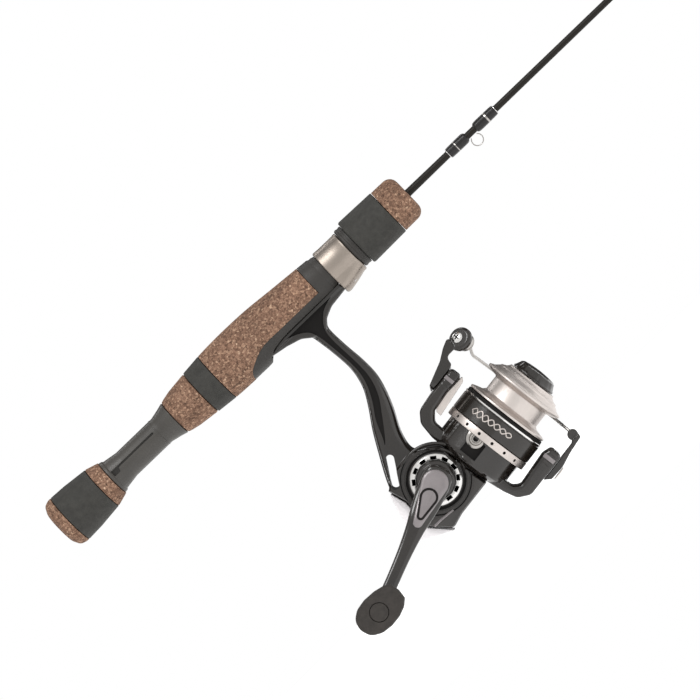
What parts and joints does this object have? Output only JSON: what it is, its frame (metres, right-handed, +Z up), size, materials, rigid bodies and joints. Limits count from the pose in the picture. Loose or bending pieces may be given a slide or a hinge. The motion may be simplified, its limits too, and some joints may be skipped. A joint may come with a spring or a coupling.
{
  "type": "ice fishing rod",
  "caption": "Short ice fishing rod with burl cork and rubber grips, a screw-down reel seat, line guides, and a spinning reel with crank, rotor, folding bail and drag knob.",
  "frame": {"origin": "on the rod's axis, right above the reel's stem, in the middle of the gripping hand", "axes": "+X along the rod towards its tip, +Z up away from the reel, -Y is the crank's side"},
  "size_m": [0.6615, 0.0936, 0.1532],
  "materials": {
    "cork": "open burl cork, matt, with dark and light flecks",
    "rubber": "matt dark grip rubber",
    "blank": "lacquered composite blank",
    "composite": "grey composite tube, satin",
    "seat": "dark seat plastic, satin",
    "thread": "black thread under clear lacquer",
    "steel": "polished stainless wire and shafts",
    "satin": "satin silver aluminium",
    "chrome": "bright chrome",
    "graphite": "gloss graphite composite",
    "gunmetal": "metallic gunmetal paint",
    "shell": "pale silver plastic",
    "brass": "cut brass gear",
    "felt": "pressed drag felt",
    "black": "black plastic or anodising"
  },
  "bodies": {
    "handle": {"rod_blank": "blank", "tip_top": "steel", "guide_1": "steel", "guide_2": "steel", "guide_3": "steel", "guide_4": "steel", "guide_wrap_1": "thread", "guide_wrap_2": "thread", "guide_wrap_3": "thread", "guide_wrap_4": "thread", "keeper_loop": "steel", "keeper_wrap_rear": "thread", "keeper_wrap_front": "thread", "butt_cap": "cork", "butt_grip": "rubber", "butt_ring": "cork", "handle_tube": "composite", "rear_grip": "cork", "grip_band": "rubber", "main_grip": "cork", "reel_seat": "seat", "reel_body": "graphite", "side_cover": "graphite", "side_ring": "chrome", "rear_cover": "shell", "crank_bearing_far": "steel", "crank_bearing_near": "steel", "pinion_bearing": "steel"},
    "hood": {"seat_hood": "satin"},
    "fore_grip": {"lock_ring": "black", "fore_grip_rubber": "rubber", "fore_grip_cork": "cork"},
    "crank": {"crank_arm": "gunmetal", "crank_cap": "gunmetal", "drive_gear": "brass", "knob_spindle": "steel"},
    "knob": {"crank_knob": "rubber", "knob_cap": "rubber"},
    "rotor": {"rotor": "graphite", "rotor_nut": "brass", "arm_plate": "satin", "pinion_gear": "brass", "balance_plug": "chrome"},
    "bail": {"bail_arm": "graphite", "trip_arm": "graphite", "trip_cap": "satin", "bail_wire": "steel", "roller_cone": "satin", "roller_screw": "chrome"},
    "roller": {"line_roller": "chrome"},
    "shaft": {"main_shaft": "steel", "oscillation_slider": "shell"},
    "spool": {"spool_body": "satin", "spool_skirt": "black", "skirt_band": "satin", "drag_washer": "felt", "click_ratchet": "black"},
    "drag": {"drag_knob": "black"},
    "oscillator": {"oscillation_gear": "shell"}
  },
  "joints": [
    {"name": "fore_grip_turn", "type": "hinge", "parent": "hood", "child": "fore_grip", "pos_m": [0.05, 0, 0], "axis": [1, 0, 0], "range_deg": [0, 1800]},
    {"name": "hood_slide", "type": "slide", "parent": "handle", "child": "hood", "axis": [1, 0, 0], "range_m": [0, 0.01]},
    {"name": "crank_turn", "type": "hinge", "parent": "handle", "child": "crank", "pos_m": [-0.00888, 0, -0.10231], "axis": [0, 1, 0], "continuous": true},
    {"name": "knob_spin", "type": "hinge", "parent": "crank", "child": "knob", "pos_m": [-0.0657, 0, -0.12585], "axis": [0, 1, 0], "continuous": true},
    {"name": "rotor_spin", "type": "hinge", "parent": "handle", "child": "rotor", "pos_m": [-0.009, 0, -0.1093], "axis": [0.99, 0, 0.1409], "continuous": true},
    {"name": "oscillator_turn", "type": "hinge", "parent": "handle", "child": "oscillator", "pos_m": [-0.01641, 0, -0.11116], "axis": [0, 1, 0], "continuous": true},
    {"name": "spool_slide", "type": "slide", "parent": "handle", "child": "shaft", "axis": [0.99, 0, 0.1409], "range_m": [-0.0068, 0]},
    {"name": "spool_spin", "type": "hinge", "parent": "shaft", "child": "spool", "pos_m": [0.0405, 0, -0.10225], "axis": [0.99, 0, 0.1409], "continuous": true},
    {"name": "drag_knob_turn", "type": "hinge", "parent": "shaft", "child": "drag", "pos_m": [0.05535, 0, -0.10014], "axis": [0.99, 0, 0.1409], "range_deg": [-720, 0]},
    {"name": "bail_flip", "type": "hinge", "parent": "rotor", "child": "bail", "pos_m": [0.02912, 0, -0.10388], "axis": [0.1409, 0, -0.99], "range_deg": [0, 115]},
    {"name": "line_roller_spin", "type": "hinge", "parent": "bail", "child": "roller", "pos_m": [0.04328, -0.0015, -0.06499], "axis": [0.0808, 0.8192, -0.5679], "continuous": true}
  ],
  "couplings": [
    {"joint": "hood_slide", "follows": "fore_grip_turn", "m_per_rad": 0.00031831},
    {"joint": "rotor_spin", "follows": "crank_turn", "ratio": 5.1429},
    {"joint": "oscillator_turn", "follows": "crank_turn", "ratio": -0.64286}
  ]
}
